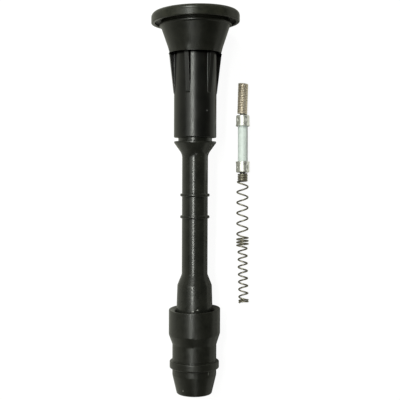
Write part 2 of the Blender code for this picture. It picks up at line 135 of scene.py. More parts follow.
# Contact
WIRE_RADIUS = 0.000375
COIL_MEAN_RADIUS = 0.00203
TERMINAL_LENGTH = 0.01505
TERMINAL_START = 90.0
TERMINAL_LEAN = 1.7
TERMINAL_SHIFT = 0.00028
CAP_RADIUS = 0.0031
CAP_RIM_RADIUS = 0.0033
CAP_RIM_HEIGHT = 0.0011
CAP_LENGTH = 0.00505
CAP_END_WALL = 0.0005
CAP_INNER_ROUND = 0.0001
CAP_LIP_ROUND = 0.00012
CAP_DIMPLE_DEPTH = 0.00036
CAP_DIMPLE_PLACE = 0.0023
CAP_DIMPLE_SIZE = (0.00048, 0.00095)  # round the cap, and along it
UPPER_DIMPLES = (26, -47, 99, -119, 172)  # from the side that faces up
LOWER_DIMPLES = (38, -52, 110, -125, 180)
CAP_PIN_LENGTH = 0.0036
END_ROUND = 0.0003
RESISTOR_RADIUS = 0.0023
RESISTOR_SHOWN = 0.0167
SPRING_SECTIONS = (  # turns, pitch and mean radius, from the cap down
    (4.44, 2 * WIRE_RADIUS + TURN_GAP, COIL_MEAN_RADIUS),
    (5.35, 0.0049, 0.00252),
    (2.84, 0.00141, 0.0026),
    (7.2, 0.00348, 0.00205),
    (1.7, 2 * WIRE_RADIUS + TURN_GAP, 0.00205),
)
SPRING_EASE = 0.3  # turns over which one section passes into the next
SPRING_START = 13.5
SPRING_LEAN = -0.0128  # sideways run of the axis at the cap, per metre of length
SPRING_BOW = 0.37  # what it gains sideways with the square of the length

# Small pale nicks, and on the tube two pale specks at the boot's mouth, small burrs with painted highlights:
# place in the row frame, and half sizes
BOOT_NICKS = (
    ((0.00355, -0.0765, 0.0189), (0.0002, 0.0010, 0.0006)),
    ((-0.0078, -0.0845, 0.0176), (0.0004, 0.0004, 0.0006)),
)
SLEEVE_NICKS = (((0.0025, 0.0411, 0.0258), (0.0005, 0.0004, 0.0006)),)
TUBE_PAINTED_GLINTS = (
    ((-0.0035, -0.0486, 0.0209), (0.0004, 0.0003, 0.0005)),
    ((-0.0014, -0.0479, 0.0208), (0.0004, 0.0003, 0.0005)),
)

# Fineness
TURN_STEPS = 160
CAP_TURN_STEPS = 120
ROD_TURN_STEPS = 96
ARC_STEPS = 6
WALL_STEPS = 12
SUPPORT = 0.00012  # from a round to the point that keeps the next stretch flat
WIRE_POINTS_PER_TURN = 32
WIRE_SIDES = 12
FIN_RINGS = 36
FIN_END_STEPS = 3
FIN_EDGE_STEPS = 4
FIN_FILLET_STEPS = 5
FIN_GAP_STEPS = 10

# Depths along the boot's axis
SHOULDER_END = FLANGE_HEIGHT + FLANGE_EDGE_ROUND + SHOULDER_HEIGHT
CONE_END = FLANGE_HEIGHT + CONE_LENGTH
FLANGE_SLOPE = math.hypot(math.tan(math.radians(FLANGE_PITCH)), math.tan(math.radians(FLANGE_ROLL)))
SLEEVE_TOP = SEAL_LIP + SEAT_GAP + SLEEVE_RADIUS * FLANGE_SLOPE
SLEEVE_END = CONE_END + SLEEVE_BELOW_SEAL
COLLAR_TOP = SLEEVE_END + GROOVE_WIDTH
TUBE_TOP = SLEEVE_END - SPIGOT_LENGTH
TUBE_SHOULDER = COLLAR_TOP + TUBE_LENGTH
CUP_TOP = TUBE_SHOULDER + SHOULDER_LENGTH
TUBE_END = CUP_TOP + CUP_LENGTH
BOOT_TOP = TUBE_END - BOOT_OVERLAP
BOOT_TAPER = BOOT_TOP + BOOT_COLLAR_LENGTH
BOOT_WAIST = BOOT_TAPER + BOOT_TAPER_LENGTH
BOOT_RING = BOOT_WAIST + BOOT_WAIST_LENGTH
BOOT_RING_END = BOOT_RING + BOOT_RING_HEIGHT
BOOT_END = BOOT_RING_END + BOOT_TIP_LENGTH

# Depths along the contact's axis
UPPER_CAP_TOP = TERMINAL_LENGTH + SEAT_GAP
RESISTOR_BARE = UPPER_CAP_TOP + CAP_LENGTH
LOWER_CAP_TOP = RESISTOR_BARE + RESISTOR_SHOWN
LOWER_CAP_END = LOWER_CAP_TOP + CAP_LENGTH
CAP_BORE_RADIUS = RESISTOR_RADIUS + SEAT_GAP
CAP_PIN_RADIUS = COIL_MEAN_RADIUS - WIRE_RADIUS - SEAT_GAP

# Linear colours. A noise blends those that come in pairs
RUBBER = ((0.0080, 0.0082, 0.0062), (0.0150, 0.0152, 0.0118))
FLANGE_RUBBER = ((0.011, 0.012, 0.009), (0.029, 0.029, 0.021))
RUBBER_DUST = (0.036, 0.037, 0.028)
RUBBER_NICK = (0.20, 0.20, 0.18)
# painted shade for the rubber's crevices
RUBBER_PAINTED_SHADE = (0.0012, 0.0012, 0.0010)
SLEEVE_PLASTIC = ((0.0036, 0.0037, 0.0034), (0.0075, 0.0076, 0.0064))
SLEEVE_NICK = (0.10, 0.10, 0.10)
# painted shadow under the seal's lip
SLEEVE_PAINTED_SHADOW = (0.0008, 0.0008, 0.0008)
TUBE_PLASTIC = ((0.0095, 0.0100, 0.0082), (0.0190, 0.0195, 0.0155))
# painted highlights on small burrs at the boot's mouth
TUBE_GLINT_COLOUR = (0.45, 0.45, 0.42)
TERMINAL_STEEL = ((0.62, 0.55, 0.45), (0.74, 0.67, 0.56))
SPRING_STEEL = ((0.26, 0.24, 0.19), (0.36, 0.34, 0.27))
CAP_PLATING = ((0.70, 0.70, 0.65), (0.88, 0.88, 0.84))
# painted shade for the caps' crimps and corners
CAP_PAINTED_SHADE = (0.10, 0.10, 0.09)
CERAMIC = ((0.67, 0.74, 0.72), (0.80, 0.88, 0.85))

# Painted shade in crevices: how far their walls reach, and how open a fully shaded and an unshaded place is
RUBBER_SHADE_REACH = 0.0025
RUBBER_SHADE_OPENNESS = (0.50, 0.80)
CAP_SHADE_REACH = 0.0012
CAP_SHADE_OPENNESS = (0.66, 0.90)
OPENNESS_SAMPLES = 8

# Where a surface changes, as two distances towards -Y from an edge
FLANGE_FADE = (-0.0004, 0.0006)
CONE_FADE = (CONE_LENGTH + 0.002, CONE_LENGTH + 0.006)
LIP_SHADOW_FADE = (0.0010, 0.0018)
CUP_FADE = (0.0, 0.004)
TERMINAL_FADE = (0.0, 0.004)

# Camera, from the photograph's size and the object's own
IMAGE_SIZE = 400
FOCAL_PIXELS = 860.0
SENSOR = 36.0
CAMERA_TARGET = Vector((-0.00048, 0.00154, 0.0156))
CAMERA_DISTANCE = 0.391
CAMERA_PITCH = 1.6
CAMERA_ROLL = 0.22
CAMERA_CLIP_START = 0.01

# Floor: its half size, its own colour, and the glow that makes it white to the camera
FLOOR_HALF = 1.6
FLOOR_COLOUR = (0.10, 0.10, 0.10)
FLOOR_ROUGHNESS = 0.9
FLOOR_GLOW = 0.95

# The floor as the part reflects it: how bright it is at some places across it, and further out
FLOOR_SPAN = 0.2
FLOOR_SHADE = (
    (-0.004, 0.55), (0.004, 0.15), (0.0205, 0.12), (0.0225, 0.55), (0.028, 0.55), (0.032, 0.22), (0.05, 0.22),
    (0.08, 0.55),
)
FLOOR_FAR_SHADE = 0.55
REFLECTED_TINT = (0.98, 1.0, 0.84)

# The room as the part reflects it: its light all round, and what low directions add, least and most
ROOM_LIGHT = 0.03
ROOM_SIDES = (0.06, 0.30)
ROOM_SIDES_FADE = (-0.1, -0.8)  # X of the directions between which it goes from least to most
ROOM_LOW_FADE = (0.60, 0.35)  # Z of the directions between which it comes in

# Lamps: name, place, width, height and power
LAMP_TINT = (0.97, 1.0, 0.93)
LAMP_AIM = (0.0, 0.0, 0.02)
SOFTBOXES = (
    ("key_strip", (-0.15, 0.015, 0.60), 0.045, 0.41, 2.0),
    ("left_softbox", (-0.36, 0.10, 0.55), 0.30, 0.45, 0.5),
    ("top_softbox", (-0.16, 0.50, 0.50), 0.12, 0.12, 2.4),
    ("low_softbox", (0.07, -0.40, 0.55), 0.06, 0.20, 0.25),
)
CONTACT_CARD = ("contact_card", (0.032, 0.036, 0.005), 0.008, 0.05, 0.0009)
CONTACT_CARD_AIM = (0.02, 0.036, 0.005)


def rounded(corners, closed=True):
    """Profile points (radius, depth) of corners (radius, depth, round), with fine arcs and support points."""
    runs = []
    count = len(corners)
    for index, (radius, depth, size) in enumerate(corners):
        here = Vector((radius, depth))
        if not size or not (closed or 0 < index < count - 1):
            runs.append([here])
            continue
        before = Vector(corners[index - 1][:2]) - here
        after = Vector(corners[(index + 1) % count][:2]) - here
        half = before.angle(after) / 2
        reach = min(size / math.tan(half), before.length / 2, after.length / 2)
        arc_radius = reach * math.tan(half)
        inwards = (before.normalized() + after.normalized()).normalized()
        centre = here + inwards * (arc_radius / math.sin(half))
        start = here + before.normalized() * reach - centre
        end = here + after.normalized() * reach - centre
        sweep = math.atan2(start.x * end.y - start.y * end.x, start.dot(end))
        runs.append([
            centre + Matrix.Rotation(sweep * step / ARC_STEPS, 2) @ start for step in range(ARC_STEPS + 1)
        ])
    points = []
    for index, run in enumerate(runs):
        points += run
        if closed or index < count - 1:
            gap = runs[(index + 1) % count][0] - run[-1]
            if gap.length > 4 * SUPPORT:
                points.append(run[-1] + gap.normalized() * SUPPORT)
                points.append(run[-1] + gap.normalized() * (gap.length - SUPPORT))
    clean = [points[0]]
    for point in points[1:]:
        if (point - clean[-1]).length > WELD:
            clean.append(point)
    return clean


def mesh_object(name, vertices, faces, matrix, material, slot, node):
    """Makes a smooth mesh in the row frame that rides with the part and stands for one CAD node."""
    mesh = bpy.data.meshes.new(name)
    mesh.from_pydata([matrix @ Vector(vertex) for vertex in vertices], [], faces)
    mesh.validate()
    form = bmesh.new()
    form.from_mesh(mesh)
    bmesh.ops.recalc_face_normals(form, faces=form.faces)
    form.to_mesh(mesh)
    form.free()
    mesh.shade_smooth()
    mesh.materials.append(material)
    obj = bpy.data.objects.new(name, mesh)
    bpy.context.scene.collection.objects.link(obj)
    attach(obj, "root")
    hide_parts(node)


def stacked(rings, closed):
    """Faces between rings of the same number of vertices, the rings joined into a loop where closed."""
    size = len(rings[0])
    faces = []
    pairs = list(zip(rings, rings[1:]))
    if closed:
        pairs.append((rings[-1], rings[0]))
    for upper, lower in pairs:
        for index in range(size):
            after = (index + 1) % size
            quad = [upper[index], upper[after], lower[after], lower[index]]
            face = [v for place, v in enumerate(quad) if v != quad[place - 1]]
            if len(face) > 2:
                faces.append(face)
    return faces


def lathe(corners, closed=True, steps=TURN_STEPS, shape=None):
    """Vertices and faces of a turned form. shape(radius, depth, angle) may change a point's radius."""
    vertices = []
    rings = []
    for radius, depth in rounded(corners, closed):
        if radius < WELD:
            rings.append([len(vertices)] * steps)
            vertices.append((0.0, 0.0, -depth))
            continue
        rings.append(list(range(len(vertices), len(vertices) + steps)))
        for step in range(steps):
            angle = math.tau * step / steps
            far = shape(radius, depth, angle) if shape else radius
            vertices.append((far * math.cos(angle), far * math.sin(angle), -depth))
    return vertices, stacked(rings, closed)


def flexed(vertices, full, none, pitch, roll):
    """Tilts the top end of a soft piece: fully above the first depth, not at all below the second."""
    bent = []
    for x, y, z in vertices:
        share = min(max((none + z) / (none - full), 0.0), 1.0)
        rise = x * math.tan(math.radians(roll)) - y * math.tan(math.radians(pitch))
        bent.append((x, y, z + share * rise))
    return bent


def seal_corners():
    """Outline of the flanged seal, from the coil's seat round the outside and back up its bore."""
    shoulder_top = SHOULDER_END - SHOULDER_HEIGHT
    skirt = CONE_END_RADIUS + SKIRT_FLARE
    recess = FLANGE_HEIGHT - RECESS_DEPTH
    bore = SLEEVE_RADIUS + SEAT_GAP
    lip_inner = FLANGE_RADIUS - FLANGE_LIP
    return [
        (COIL_SEAT_RADIUS, 0.0, SOFT_ROUND),
        (FLANGE_RADIUS, 0.0, FLANGE_TOP_ROUND),
        (FLANGE_RADIUS, FLANGE_HEIGHT, FLANGE_EDGE_ROUND),
        (lip_inner, FLANGE_HEIGHT, FLANGE_LIP_ROUND),
        (lip_inner, recess, SOFT_ROUND),
        (RECESS_INNER_RADIUS, recess, SOFT_ROUND),
        (RECESS_INNER_RADIUS, shoulder_top, FINE_ROUND),
        (SHOULDER_RADIUS, shoulder_top, SHOULDER_HEIGHT / 2),
        (SHOULDER_RADIUS, SHOULDER_END, SHOULDER_HEIGHT / 2),
        (CONE_TOP_RADIUS, SHOULDER_END, SOFT_ROUND),
        *cone_wall(CONE_END_RADIUS, CONE_END),
        (skirt, CONE_END, CONE_END_ROUND),
        (skirt - CONE_END_WALL, CONE_END, FINE_ROUND),
        (skirt - CONE_END_WALL - SKIRT_STEP, CONE_END - SKIRT_DEPTH / 3, SKIRT_STEP),
        (bore, CONE_END - SKIRT_DEPTH, 0.0),
        (bore, SEAL_LIP, FINE_ROUND),
        (SEAL_MOUTH_RADIUS, SEAL_LIP, FINE_ROUND),
        (SEAL_MOUTH_RADIUS, COIL_SEAT_DEPTH, SOFT_ROUND),
        (COIL_SEAT_RADIUS, COIL_SEAT_DEPTH, FINE_ROUND),
    ]


def cone_wall(end_radius, end_depth):
    """Corners down the cone's wall, closer to each other towards its end."""
    corners = []
    for step in range(1, WALL_STEPS):
        share = 1 - (1 - step / WALL_STEPS) ** 2
        depth = SHOULDER_END + (end_depth - SHOULDER_END) * share
        corners.append((CONE_TOP_RADIUS + (end_radius - CONE_TOP_RADIUS) * share, depth, 0.0))
    return corners


def smooth_step(value):
    """Passes smoothly from 0 to 1 as the value does, and stays there."""
    share = min(max(value, 0.0), 1.0)
    return share * share * (3 - 2 * share)


def skirt_shape(radius, depth, angle):
    """The skirt bulges where it lies over a fin's top end.

    A fin's angle counts from -Y, and a lathe's from +X.
    """
    bulge = 0.0
    for fin in range(FIN_COUNT):
        off = math.degrees(angle) + 90 - FIN_FIRST_ANGLE - 360 / FIN_COUNT * fin
        off = (off + 180) % 360 - 180
        bulge += math.exp(-(off / SKIRT_BULGE_SPREAD) ** 2)
    return radius + SKIRT_BULGE * bulge * smooth_step((depth - CONE_END) / SKIRT_DEPTH + 1)


def fin_height(share):
    """How far a fin stands proud of the sleeve at a share of its length from its top."""
    corner = FIN_CORNER * max(1 - share * FIN_LENGTH / FIN_CORNER_LENGTH, 0.0) ** 2
    return FIN_END_RADIUS - SLEEVE_RADIUS + (FIN_TOP_RADIUS - FIN_END_RADIUS) * (1 - share) + corner


def fin_half_section(height):
    """Half of a fin's section (across, outwards), from the middle of its edge to its foot."""
    half = FIN_THICKNESS / 2
    edge = min(FIN_EDGE_ROUND, FIN_EDGE_LIMIT * height)
    fillet = min(FIN_FILLET, FIN_FILLET_LIMIT * height)
    top = SLEEVE_RADIUS + height
    points = [((half - edge) * share, top) for share in (0.0, 0.5, 0.85)]
    for step in range(FIN_EDGE_STEPS + 1):
        turn = math.radians(90 - 90 * step / FIN_EDGE_STEPS)
        points.append((half - edge + edge * math.cos(turn), top - edge + edge * math.sin(turn)))
    foot = Vector((half + fillet, math.sqrt((SLEEVE_RADIUS + fillet) ** 2 - (half + fillet) ** 2)))
    points += [(half, top - edge + (foot.y - top + edge) * share) for share in (0.12, 0.88)]
    last = math.atan2(-foot.y, -foot.x) % math.tau
    for step in range(FIN_FILLET_STEPS + 1):
        turn = math.pi + (last - math.pi) * step / FIN_FILLET_STEPS
        points.append((foot.x + fillet * math.cos(turn), foot.y + fillet * math.sin(turn)))
    return points


def sleeve_ring(radius, depth, height=None):
    """One ring of the sleeve's mesh: round, or with its fins where a height is given."""
    pitch = math.tau / FIN_COUNT
    widest = math.atan2(FIN_THICKNESS / 2 + FIN_FILLET, SLEEVE_RADIUS)
    if height:
        half = [(math.atan2(across, outwards), math.hypot(across, outwards))
                for across, outwards in fin_half_section(height)]
    else:
        count = len(fin_half_section(FIN_TOP_RADIUS - SLEEVE_RADIUS))
        half = [(widest * index / (count - 1), radius) for index in range(count)]
    for step in range(FIN_GAP_STEPS):
        half.append((half[-1][0] + (pitch / 2 - half[-1][0]) / (FIN_GAP_STEPS - step), radius))
    whole = half + [(pitch - angle, far) for angle, far in reversed(half[1:-1])]
    points = []
    for fin in range(FIN_COUNT):
        centre = math.radians(FIN_FIRST_ANGLE) + pitch * fin
        for angle, far in whole:
            turn = centre + angle
            points.append((far * math.sin(turn), -far * math.cos(turn), -depth))
    return points


def sleeve_mesh():
    """Vertices and faces of the finned sleeve."""
    top = CONE_END + SNUG_GAP
    socket = SPIGOT_RADIUS + SEAT_GAP
    stations = [
        (SLEEVE_RADIUS, SLEEVE_TOP + FINE_ROUND, None),
        (SLEEVE_RADIUS, top - SUPPORT, None),
        (SLEEVE_RADIUS, top, None),
    ]
    full = fin_height(0.0)
    for step in range(FIN_END_STEPS + 1):
        turn = math.radians(90 * step / FIN_END_STEPS)
        stations.append((SLEEVE_RADIUS, top + FIN_END_ROUND * (1 - math.cos(turn)),
                         full - FIN_END_ROUND * (1 - math.sin(turn))))
    start = FIN_END_ROUND / FIN_LENGTH
    for step in range(1, FIN_RINGS):
        share = start + (1 - start) * step / FIN_RINGS
        stations.append((SLEEVE_RADIUS, top + FIN_LENGTH * share, fin_height(share)))
    stations.append((SLEEVE_RADIUS, top + FIN_LENGTH - FIN_END_ROUND / 2, fin_height(1.0) / 2))
    stations.append((SLEEVE_RADIUS, top + FIN_LENGTH, None))
    stations += [(radius, depth, None) for radius, depth in rounded([
        (SLEEVE_RADIUS, top + FIN_LENGTH + SUPPORT, 0.0),
        (SLEEVE_RADIUS, SLEEVE_END, SLEEVE_END_ROUND),
        (socket, SLEEVE_END, FINE_ROUND),
        (socket, TUBE_TOP - SEAT_GAP, FINE_ROUND),
        (WEB_BORE_RADIUS, TUBE_TOP - SEAT_GAP, FINE_ROUND),
        (WEB_BORE_RADIUS, SLEEVE_TOP + TOWER_SOCKET_DEPTH, FINE_ROUND),
        (TOWER_SOCKET_RADIUS, SLEEVE_TOP + TOWER_SOCKET_DEPTH, SOFT_ROUND),
        (TOWER_SOCKET_RADIUS, SLEEVE_TOP, SOFT_ROUND),
        (SLEEVE_RADIUS, SLEEVE_TOP, 0.0),
    ], closed=False)]
    vertices = []
    rings = []
    for radius, depth, height in stations:
        points = sleeve_ring(radius, depth, height)
        rings.append(list(range(len(vertices), len(vertices) + len(points))))
        vertices += points
    return vertices, stacked(rings, True)


def tube_corners():
    """Outline of the extension tube, from its spigot down the outside and back up its bore."""
    flare_end = COLLAR_TOP + COLLAR_HEIGHT + FLARE_LENGTH
    corners = [
        (SPIGOT_RADIUS, TUBE_TOP, SPIGOT_ROUND),
        (SPIGOT_RADIUS, COLLAR_TOP, FINE_ROUND),
        (COLLAR_RADIUS, COLLAR_TOP, COLLAR_ROUND),
        (COLLAR_RADIUS, COLLAR_TOP + COLLAR_HEIGHT, COLLAR_ROUND),
        (TUBE_RADIUS, flare_end, FLARE_LENGTH),
    ]
    for position in BEAD_POSITIONS:
        middle = COLLAR_TOP + position
        corners += [
            (TUBE_RADIUS, middle - BEAD_HEIGHT / 2, FINE_ROUND),
            (TUBE_RADIUS + BEAD_PROUD, middle - BEAD_HEIGHT / 2, BEAD_HEIGHT / 2),
            (TUBE_RADIUS + BEAD_PROUD, middle + BEAD_HEIGHT / 2, BEAD_HEIGHT / 2),
            (TUBE_RADIUS, middle + BEAD_HEIGHT / 2, FINE_ROUND),
        ]
    return corners + [
        (TUBE_RADIUS, TUBE_SHOULDER, SHOULDER_LENGTH / 2),
        (CUP_TOP_RADIUS, CUP_TOP, SHOULDER_LENGTH / 2),
        (CUP_END_RADIUS, BOOT_TOP, 0.0),
        (CUP_END_RADIUS, TUBE_END, SOFT_ROUND),
        (CUP_BORE_RADIUS, TUBE_END, SOFT_ROUND),
        (CUP_BORE_RADIUS, TUBE_END - CUP_BORE_DEPTH, FINE_ROUND),
        (TUBE_BORE_RADIUS, TUBE_END - CUP_BORE_DEPTH - (CUP_BORE_RADIUS - TUBE_BORE_RADIUS), FINE_ROUND),
        (TUBE_BORE_RADIUS, TUBE_TOP, SOFT_ROUND),
    ]


def plug_boot_corners():
    """Outline of the plug boot, from its lip down the outside, up the plug's bore and the tube's socket."""
    socket = CUP_END_RADIUS + SEAT_GAP
    floor = TUBE_END + SEAT_GAP
    dish = BOOT_TOP + BOOT_DISH_DEPTH
    return [
        (BOOT_COLLAR_RADIUS, BOOT_TOP, BOOT_LIP_ROUND),
        (BOOT_COLLAR_RADIUS, BOOT_TAPER, BOOT_TAPER_LENGTH / 2),
        (BOOT_WAIST_RADIUS, BOOT_WAIST, BOOT_TAPER_LENGTH / 2),
        (BOOT_WAIST_RADIUS, BOOT_RING, SOFT_ROUND),
        (BOOT_RING_RADIUS, BOOT_RING, BOOT_RING_TOP_ROUND),
        (BOOT_RING_RADIUS, BOOT_RING_END, BOOT_RING_ROUND),
        (BOOT_WAIST_RADIUS, BOOT_RING_END, SOFT_ROUND),
        (BOOT_WAIST_RADIUS, BOOT_RING_END + BOOT_TIP_SHOULDER, BOOT_RING_ROUND),
        (BOOT_TIP_RADIUS, BOOT_END, BOOT_TIP_ROUND),
        (PLUG_BORE_RADIUS + BOOT_MOUTH_CHAMFER, BOOT_END, FINE_ROUND),
        (PLUG_BORE_RADIUS, BOOT_END - BOOT_MOUTH_CHAMFER, FINE_ROUND),
        (PLUG_BORE_RADIUS, floor, SOFT_ROUND),
        (socket, floor, 0.0),
        (socket, dish + BOOT_MOUTH_CHAMFER, FINE_ROUND),
        (socket + BOOT_MOUTH_CHAMFER, dish, BOOT_MOUTH_ROUND),
        (BOOT_COLLAR_RADIUS - BOOT_LIP_WIDTH, BOOT_TOP, FINE_ROUND),
    ]


def eased(sections, turn):
    """Pitch and mean radius at a turn, passing smoothly from one section to the next."""
    pitch, radius = sections[0][1:]
    border = 0.0
    for (turns, _, _), (_, next_pitch, next_radius) in zip(sections, sections[1:]):
        border += turns
        blend = smooth_step((turn - border) / SPRING_EASE + 0.5)
        pitch += (next_pitch - pitch) * blend
        radius += (next_radius - radius) * blend
    return pitch, radius


def wound_wire(sections, start_angle=0.0, lean=0.0, bow=0.0):
    """Vertices and faces of a round wire wound left-handed, running down from zero."""
    total = sum(turns for turns, _, _ in sections)
    count = round(total * WIRE_POINTS_PER_TURN)
    depth = WIRE_RADIUS
    middle = []
    hubs = []
    for index in range(count + 1):
        turn = total * index / count
        pitch, radius = eased(sections, turn)
        if index:
            depth += pitch * total / count
        angle = math.radians(start_angle) + math.tau * turn
        aside = lean * depth + bow * depth * depth
        hubs.append(Vector((aside, 0.0, -depth)))
        middle.append(Vector((aside + radius * math.cos(angle), radius * math.sin(angle), -depth)))
    vertices = []
    rings = []
    for index, point in enumerate(middle):
        along = (middle[min(index + 1, count)] - middle[max(index - 1, 0)]).normalized()
        outwards = point - hubs[index]
        outwards = (outwards - along * outwards.dot(along)).normalized()
        across = along.cross(outwards)
        rings.append(list(range(len(vertices), len(vertices) + WIRE_SIDES)))
        for side in range(WIRE_SIDES):
            turn = math.tau * side / WIRE_SIDES
            vertices.append(point + WIRE_RADIUS * (outwards * math.cos(turn) + across * math.sin(turn)))
    faces = stacked(rings, False)
    faces.append(rings[0][::-1])
    faces.append(rings[-1])
    return vertices, faces


def cap_corners():
    """Outline of an end cap: its pin, its wall, its flared rim and its hollow."""
    rim_wall = CAP_RADIUS - CAP_BORE_RADIUS
    wall = CAP_LENGTH - CAP_RIM_HEIGHT - CAP_END_WALL
    return [
        (0.0, -CAP_PIN_LENGTH, 0.0),
        (CAP_PIN_RADIUS, -CAP_PIN_LENGTH, END_ROUND),
        (CAP_PIN_RADIUS, 0.0, CAP_INNER_ROUND),
        (CAP_RADIUS, 0.0, CAP_END_WALL),
        *((CAP_RADIUS, CAP_END_WALL + wall * step / WALL_STEPS, 0.0) for step in range(1, WALL_STEPS)),
        (CAP_RADIUS, CAP_LENGTH - CAP_RIM_HEIGHT, CAP_RIM_HEIGHT / 2),
        (CAP_RIM_RADIUS, CAP_LENGTH, CAP_LIP_ROUND),
        (CAP_RIM_RADIUS - rim_wall, CAP_LENGTH, CAP_LIP_ROUND),
        (CAP_BORE_RADIUS, CAP_LENGTH - CAP_RIM_HEIGHT, CAP_INNER_ROUND),
        (CAP_BORE_RADIUS, CAP_END_WALL, CAP_INNER_ROUND),
        (0.0, CAP_END_WALL, 0.0),
    ]


def cap_shape(facing, side, dimples):
    """Crimp dimples round a cap, at angles from the side that faces up.

    Facing is that side's own angle, and side is -1 where the cap is turned over.
    """

    def shape(radius, depth, angle):
        if radius < (CAP_BORE_RADIUS + CAP_RADIUS) / 2 or depth < CAP_END_WALL / 2:
            return radius
        pressed = 0.0
        for dimple in dimples:
            off = (side * (math.degrees(angle) - facing) - dimple + 180) % 360 - 180
            across = math.radians(off) * CAP_RADIUS / CAP_DIMPLE_SIZE[0]
            along = (depth - CAP_DIMPLE_PLACE) / CAP_DIMPLE_SIZE[1]
            pressed += math.exp(-(across * across + along * along) ** 1.5)
        return radius - CAP_DIMPLE_DEPTH * pressed

    return shape


def resistor_corners():
    """Outline of the resistor's rod, whose ends are hidden in the caps."""
    into_cap = CAP_LENGTH - CAP_END_WALL - SEAT_GAP
    top = RESISTOR_BARE - into_cap
    end = LOWER_CAP_TOP + into_cap
    return [
        (0.0, top, 0.0),
        (RESISTOR_RADIUS, top, END_ROUND),
        (RESISTOR_RADIUS, end, END_ROUND),
        (0.0, end, 0.0),
    ]


def surface_middle(obj):
    """Middle of an object's surface, weighted by area."""
    total = 0.0
    middle = Vector()
    for face in obj.data.polygons:
        middle += face.center * face.area
        total += face.area
    return middle / total


def axis_matrix(top, down):
    """Places a piece that is modelled on Z, downwards from zero, on an axis, with its X kept to the right."""
    z_axis = -down.normalized()
    y_axis = z_axis.cross(Vector((1.0, 0.0, 0.0))).normalized()
    x_axis = y_axis.cross(z_axis)
    matrix = Matrix((x_axis, y_axis, z_axis)).transposed().to_4x4()
    matrix.translation = top
    return matrix


def boot_matrix(nodes):
    """The boot's axis: through the middles of its sleeve and tube, from the flange's top face."""
    tube = surface_middle(nodes["extension_tube"])
    down = (tube - surface_middle(nodes["finned_sleeve"])).normalized()
    rise = min((vertex.co - tube).dot(down) for vertex in nodes["extension_tube"].data.vertices)
    return axis_matrix(tube + down * (rise - TUBE_TOP), down)


def contact_matrix(nodes):
    """The contact's axis, along -Y through the resistor, from the free end of its terminal coil."""
    rod = surface_middle(nodes["resistor_rod"])
    down = Vector((0.0, -1.0, 0.0))
    rise = min((vertex.co - rod).dot(down) for vertex in nodes["upper_end_cap"].data.vertices)
    return axis_matrix(rod + down * (rise - UPPER_CAP_TOP + CAP_PIN_LENGTH), down)


def depth_on_y(place, depth):
    """Where a depth on an assembly's axis lies on the row frame's Y."""
    return (place @ Vector((0.0, 0.0, -depth))).y


def coordinate(tree, space, axis):
    """One coordinate of a texture space."""
    split = tree.nodes.new("ShaderNodeSeparateXYZ")
    tree.links.new(tree.nodes.new("ShaderNodeTexCoord").outputs[space], split.inputs[0])
    return split.outputs[axis]


def add_span(tree, value, low, high, start, end):
    """Passes from low to high between two values. High may be a number or a socket."""
    node = tree.nodes.new("ShaderNodeMapRange")
    node.inputs["From Min"].default_value = start
    node.inputs["From Max"].default_value = end
    node.inputs["To Min"].default_value = low
    if isinstance(high, float):
        node.inputs["To Max"].default_value = high
    else:
        tree.links.new(high, node.inputs["To Max"])
    tree.links.new(value, node.inputs["Value"])
    return node.outputs["Result"]


def add_math(tree, operation, *values):
    """A Math node on sockets and numbers."""
    node = tree.nodes.new("ShaderNodeMath")
    node.operation = operation
    for socket, value in zip(node.inputs, values):
        if isinstance(value, float):
            socket.default_value = value
        else:
            tree.links.new(value, socket)
    return node.outputs[0]


